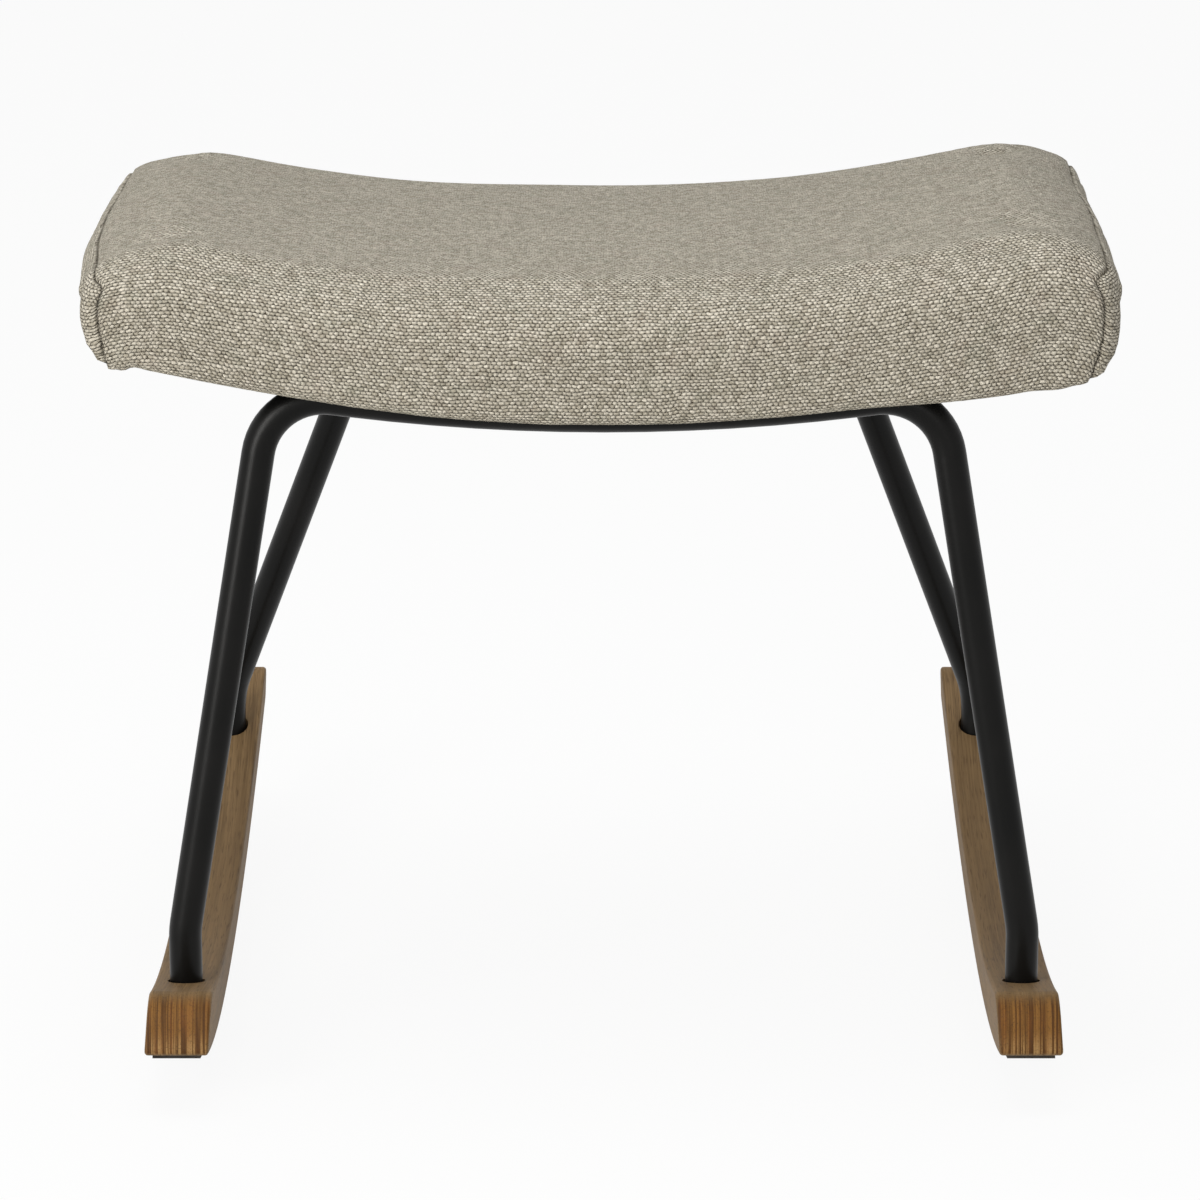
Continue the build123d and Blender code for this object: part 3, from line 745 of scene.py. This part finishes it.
for end in (-1, 1):
    for way, edge in ((-1, SEAT_FRONT), (1, SEAT_BACK)):
        corner = np.array([end * FOLD_X, edge + RAIL_Y, 0.0])
        corner[2] = under_height(corner) + FOLD_UP
        off = surface - corner
        far = np.linalg.norm(off, axis=2)
        turn = np.arctan2(off[:, :, 2], off[:, :, 0] + off[:, :, 1] * FOLD_SLANT)
        folds = np.cos(turn * FOLD_COUNT + end * 1.3 + way * 0.7)
        folds = folds * np.exp(-((far / FOLD_REACH) ** 2)) * far / (far + FOLD_START)
        surface += outward * (FOLD_DEPTH * folds)[:, :, None]


def main_panel_weave(rows):
    """The cloth's own directions on the main panel, from the middle of its top."""
    middle = count // 2
    across = cloth_across[rows] - cloth_across[len(rings) // 2]
    around = cloth_around[rows] - cloth_around[rows, middle : middle + 1]
    return np.stack([across, around, np.zeros_like(across)], -1)


def end_panel_weave(rows):
    """The cloth's own directions on an end panel: flat in its middle, followed out over the round."""
    grid = surface[rows]
    order = list(range(len(grid)))
    if grid[0, :, 1].std() >= grid[-1, :, 1].std():
        order.reverse()
    flat = np.zeros((len(grid), count, 2))
    flat[order[0]] = grid[order[0]][:, 1:]
    for before, ring in zip(order, order[1:]):
        step = grid[ring] - grid[before]
        way = step[:, 1:]
        size = np.linalg.norm(way, axis=1, keepdims=True)
        full = np.linalg.norm(step, axis=1, keepdims=True)
        outline_way = grid[ring][:, 1:] - grid[ring][:, 1:].mean(0)
        outline_way /= np.maximum(np.linalg.norm(outline_way, axis=1, keepdims=True), 1e-9)
        # where the round mostly leaves the panel's plane, the cloth goes straight outward
        way = np.where(size > 0.3 * full, way / np.maximum(size, 1e-9), outline_way)
        flat[ring] = flat[before] + way * full
    return np.concatenate([flat, np.zeros((len(grid), count, 1))], 2)


# The hem is turned under and ends in a window, which the dust cloth closes. It
# reaches a little further in at the front and back.
HEM_W = 0.032
HEM_SPARE = 0.006
HEM_HIGH = 0.012  # nothing higher over the underside is in the window
COVER_T = 0.0012
# the next width is that of the painted shade in the groove along each seam
SEAM_SHADE_W = 0.0016  # the darker line along a seam


def cover_piece(name, rows, panel_weave):
    """Some rows of the cover's surface as a piece of its own, open inside the hem."""
    piece = ring_mesh(name, surface[rows])
    mesh = piece.data
    kept = mesh.attributes.new("weave", "FLOAT_VECTOR", "POINT")
    kept.data.foreach_set("vector", panel_weave(rows).astype(np.float32).ravel())
    # a share that dies away from the seams, for the painted shade along them
    seam_shade = mesh.attributes.new("seam_shade", "FLOAT", "POINT")
    gaps = [np.abs(cloth_across[rows] - cloth_across[seam]) for seam in (left_seam, right_seam)]
    seam_shade.data.foreach_set("value", np.exp(-np.minimum(*gaps) / SEAM_SHADE_W).astype(np.float32).ravel())
    made = bmesh.new()
    made.from_mesh(mesh)
    limit = UNDER_R * SEAT_END - HEM_W
    front, back = SEAT_FRONT + HEM_W + HEM_SPARE, SEAT_BACK - HEM_W - HEM_SPARE
    inside = []
    for face in made.faces:
        at = face.calc_center_median()
        rise = RAIL_TO_SEAT + UNDER_R - math.sqrt(UNDER_R**2 - at.x**2)
        depth = (at.y - RAIL_Y - rise * math.sin(SEAT_TILT)) / math.cos(SEAT_TILT)
        if abs(at.x) < limit and front < depth < back and at.z < under_height(at) + HEM_HIGH:
            inside.append(face)
    bmesh.ops.delete(made, geom=inside, context="FACES")
    loose = [v for v in made.verts if not v.link_faces]
    bmesh.ops.delete(made, geom=loose, context="VERTS")
    made.to_mesh(mesh)
    made.free()
    tidy_mesh(piece, merge=0.00002)
    thick = piece.modifiers.new("cloth_thickness", "SOLIDIFY")
    thick.thickness = COVER_T
    thick.offset = -1
    return piece


left_rows, middle_rows = slice(0, left_seam + 1), slice(left_seam, right_seam + 1)
right_rows = slice(right_seam, len(rings))
cover_main = cover_piece("cover_panel", middle_rows, main_panel_weave)
cover_left = cover_piece("cover_end_panel_left", left_rows, end_panel_weave)
cover_right = cover_piece("cover_end_panel_right", right_rows, end_panel_weave)

# The weave: single knots in brick rows, each with its own place and tone, and
# darker yarn between them, partly its own colour and partly painted shade in the
# gaps. The rows drift over some 20 mm and shake over 2 mm.
FLOAT_L = 0.0030
ROW_H = 0.0020
DRIFT = (0.0050, 0.0036)
SHAKE = (0.0014, 0.0009)
KNOT_RELIEF = 0.0014

weave = Finish("oatmeal_weave", Specular_IOR_Level=0.10, Sheen_Weight=0.05, Sheen_Roughness=0.5)
cloth_at = weave.node("ShaderNodeAttribute", {"attribute_name": "weave"}, {}, "Vector")
drift = weave.noise(cloth_at, 55, 2.0, 0.5, "Color").parts()
shake = weave.noise(cloth_at, 420, 1.0, 0.5, "Color").parts()
across, around = cloth_at.parts()[:2]
across = across + (drift[0] - 0.5) * DRIFT[0] + (shake[0] - 0.5) * SHAKE[0]
around = around + (drift[1] - 0.5) * DRIFT[1] + (shake[1] - 0.5) * SHAKE[1]
row = (around / ROW_H).maths("FLOOR")
shift = (row * 0.5).maths("FRACT")
lane = across / FLOAT_L + shift
column = lane.maths("FLOOR")
knot_at = weave.vector(column, row, 0.0)
own = weave.node("ShaderNodeTexWhiteNoise", {"noise_dimensions": "3D"}, {0: knot_at}, "Color")
own, own_x, own_y = own.parts()
in_x = (lane - column - 0.5) * 2 + (own_x - 0.5) * 0.3
in_y = (around / ROW_H - row - 0.5) * 2 + (own_y - 0.5) * 0.25
knot = (1.22 - in_x * in_x - in_y * in_y * 0.85 + own * 0.15).maths("MAXIMUM", 0.0) ** 0.7
# painted light and shade: each knot is painted lighter at its top and left and darker below, with the
# painted shadow it casts on the gap under it
knot_and_painted_light = (knot + in_y * 0.42 - in_x * 0.1).ramp(0.0, 0.78)
yarn = weave.noise(weave.vector(across * 110, around * 900, 0.0), 1.0, 2.0)
slub = weave.noise(weave.vector(across * 26, around * 380, 5.0), 1.0, 2.0)
blotch = weave.noise(cloth_at, 42, 3.0, 0.6)
tint = weave.noise(weave.vector(across * 60, around * 60, 8.0), 1.0, 3.0)
light_yarn = weave.mix(own.ramp(0.0, 1.0), srgb(190, 182, 164), srgb(226, 218, 201))
light_yarn = weave.mix(slub.ramp(0.40, 0.75) * 0.25, light_yarn, srgb(166, 157, 140))
# the gaps between the knots: darker yarn with painted shade over it
dark_yarn_and_gap_shade = weave.mix(yarn.ramp(0.3, 0.7), srgb(50, 42, 31), srgb(98, 88, 71))
cloth = weave.mix(knot_and_painted_light, dark_yarn_and_gap_shade, light_yarn)
cloth = weave.mix(blotch.ramp(0.50, 0.72) * 0.13, cloth, srgb(168, 142, 130))
cloth = weave.mix(tint.ramp(0.52, 0.75) * 0.16, cloth, srgb(128, 138, 118))
fleck = weave.noise(cloth_at, 620, 2.0, 0.6)
cloth = weave.mix(fleck.ramp(0.36, 0.60, 0.30, 0.0), cloth, srgb(104, 94, 78))
cloth = weave.mix(fleck.ramp(0.52, 0.74, 0.0, 0.30), cloth, srgb(222, 216, 200))
# painted shade: the cloth is painted darker along each seam, in its groove
seam_shade = weave.node("ShaderNodeAttribute", {"attribute_name": "seam_shade"}, {}, "Fac")
cloth = weave.mix(seam_shade.ramp(0.4, 1.0) * 0.4, cloth, srgb(74, 65, 51))
height = knot + yarn * 0.15
weave.surface(
    Base_Color=cloth,
    Roughness=0.84 + own * 0.12,
    Normal=weave.bump(height, KNOT_RELIEF),
)
weave.paint(cover_main, cover_left, cover_right)
for piece, node in (
    (cover_main, "cover_main"),
    (cover_left, "cover_end_left"),
    (cover_right, "cover_end_right"),
):
    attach(piece, "root")
    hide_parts(node)

# ------------------------------------------------------------------ foam block
# A block of cream upholstery foam, cut to the cushion's form and hollowed below
# so that it laps round the board. The cover pulled over it holds it in place.
BOARD_TOP = 0.0144
FOAM_IN = 0.0025
FOAM_SLACK = 0.0022
HOLLOW_END_IN = 0.024  # the hollow's edge, from the seat's ends and from its front and back
HOLLOW_SIDE_IN = 0.012
HOLLOW_BELOW = 0.012
HOLLOW_GAP = 0.0008

rings = cushion_surface(
    inset=FOAM_IN, spacing=0.012, end_steps=6, face_rings=3, stretches=(8, 2, 4, 6, 8, 24)
)[0]
level = np.array(rings)
level = (level - ring_normals(level) * FOAM_SLACK).reshape(-1, 3)
under = UNDER_R - np.sqrt(UNDER_R**2 - level[:, 0] ** 2)
edge_in = np.minimum(level[:, 1] - SEAT_FRONT, SEAT_BACK - level[:, 1])
hollow = (abs(level[:, 0]) < HALF_W - HOLLOW_END_IN) & (edge_in > HOLLOW_SIDE_IN)
hollow &= level[:, 2] - under < HOLLOW_BELOW
level[hollow, 2] = under[hollow] + BOARD_TOP + HOLLOW_GAP
foam = ring_mesh("foam_block", on_stool(hand_made(level)).reshape(len(rings), -1, 3))
tidy_mesh(foam, COARSE_MERGE)
foam_finish = Finish("cream_foam", Specular_IOR_Level=0.2)
spot = foam_finish.point()
cells = foam_finish.node("ShaderNodeTexVoronoi", {}, {"Vector": spot, "Scale": 900.0}, "Distance")
age = foam_finish.noise(spot, 14, 2.0)
foam_finish.surface(
    Base_Color=foam_finish.mix(age, srgb(236, 226, 190), srgb(246, 240, 214)),
    Roughness=0.85 + cells * 0.1,
    Normal=foam_finish.bump(cells, 0.0004, 0.6),
)
foam_finish.paint(foam)
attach(foam, "root")
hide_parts("seat_foam")

# ----------------------------------------------------------------- dust cloth
# Black non-woven cloth stapled over the board's underside: pressed fibres with
# a fine dimple pattern.
felt = Finish("black_dust_cloth", Specular_IOR_Level=0.2)
spot = felt.point()
fibres = felt.noise(spot, 1400, 4.0, 0.7)
dimples = felt.node("ShaderNodeTexVoronoi", {}, {"Vector": spot, "Scale": 520.0}, "Distance")
felt.surface(
    Base_Color=felt.mix(fibres.ramp(0.3, 0.75), srgb(20, 20, 21), srgb(52, 51, 50)),
    Roughness=0.8 + fibres * 0.15,
    Normal=felt.bump(fibres + dimples, 0.0003, 0.6),
)
felt.paint(nodes["dust_cloth"])

# ----------------------------------------------------- floor, lights and camera
# A pale studio floor, a white backdrop and large soft lamps. The backdrop's
# white shows only to the camera and in reflections.
CAMERA_AT = (-0.0022, -3.118, 1.2384)
CAMERA_DOWN = math.radians(18)
CAMERA_LENS = 162
FLOOR_HALF = 14.0
FLOOR_Z = -0.0002  # just under the treads
FLOOR_WHITE = 0.92  # how white the floor looks to the camera, where 1 hides the shadow
AMBIENT = 0.40
WHITE = (1, 1, 1, 1)
WARM = (1, 0.985, 0.955)
COOL = (0.95, 0.975, 1)

camera_data = bpy.data.cameras.new("photo_camera")
camera_data.lens = CAMERA_LENS
camera_data.sensor_width = 36
camera_data.clip_start = 0.05
camera = placed("photo_camera", camera_data)
camera.location = CAMERA_AT
camera.rotation_euler = (math.radians(90) - CAMERA_DOWN, 0, 0)
bpy.context.scene.camera = camera

floor_mesh = bpy.data.meshes.new("studio_floor")
corners = [(x * FLOOR_HALF, y * FLOOR_HALF, 0) for x, y in ((-1, -1), (1, -1), (1, 1), (-1, 1))]
floor_mesh.from_pydata(corners, [], [(0, 1, 2, 3)])
floor = placed("studio_floor", floor_mesh)
floor.location.z = FLOOR_Z


def show_white(finish, light, output, share):
    """Let rays of the camera, of gloss and through glass see white, by a share. All other rays
    meet the finish's own shader."""
    kinds = ("Camera", "Glossy", "Transmission")
    camera_ray, gloss_ray, glass_ray = (
        finish.node("ShaderNodeLightPath", {}, {}, f"Is {kind} Ray") for kind in kinds
    )
    seen = (camera_ray + gloss_ray + glass_ray).maths("MINIMUM", 1.0)
    own = Wire(finish, finish.shader.outputs[0])
    white = finish.node(light, {}, {"Color": WHITE, "Strength": 1.0})
    both = finish.node("ShaderNodeMixShader", {}, {0: seen * share, 1: own, 2: white})
    finish.feed(finish.tree.nodes[output].inputs["Surface"], both)


paper = Finish("studio_paper", Base_Color=srgb(232, 232, 230), Roughness=0.9)
show_white(paper, "ShaderNodeEmission", "Material Output", FLOOR_WHITE)
paper.paint(floor)
studio = Finish("studio_white", world=True, Color=WHITE, Strength=AMBIENT)
show_white(studio, "ShaderNodeBackground", "World Output", 1.0)
bpy.context.scene.world = studio.owner


def soft_lamp(name, place, aim, size, watts, colour):
    """A soft box that looks at a point, with its width and height."""
    data = bpy.data.lights.new(name, "AREA")
    data.color = colour
    data.shape = "RECTANGLE"
    data.size, data.size_y = size
    data.energy = watts
    lamp = placed(name, data)
    lamp.location = place
    lamp.rotation_euler = (Vector(aim) - Vector(place)).to_track_quat("-Z", "Y").to_euler()
    return lamp


soft_lamp("left_softbox", (-1.75, -2.1, 1.5), (0, 0, 0.35), size=(1.0, 1.3), watts=35.5, colour=WARM)
soft_lamp("front_softbox", (0.4, -2.8, 1.2), (0, 0, 0.35), size=(1.2, 0.9), watts=12, colour=WARM)
soft_lamp("top_softbox", (-0.2, -0.2, 2.6), (0, 0, 0.4), size=(1.6, 1.6), watts=31, colour=COOL)
# a low strip that shows only in reflections, as the long highlight on the tubes
strip = soft_lamp(
    "strip_softbox", (-1.15, -1.35, 0.42), (0, 0, 0.3), size=(0.4, 0.8), watts=14, colour=WARM
)
strip.visible_diffuse = False

bpy.context.scene.view_settings.view_transform = "Standard"
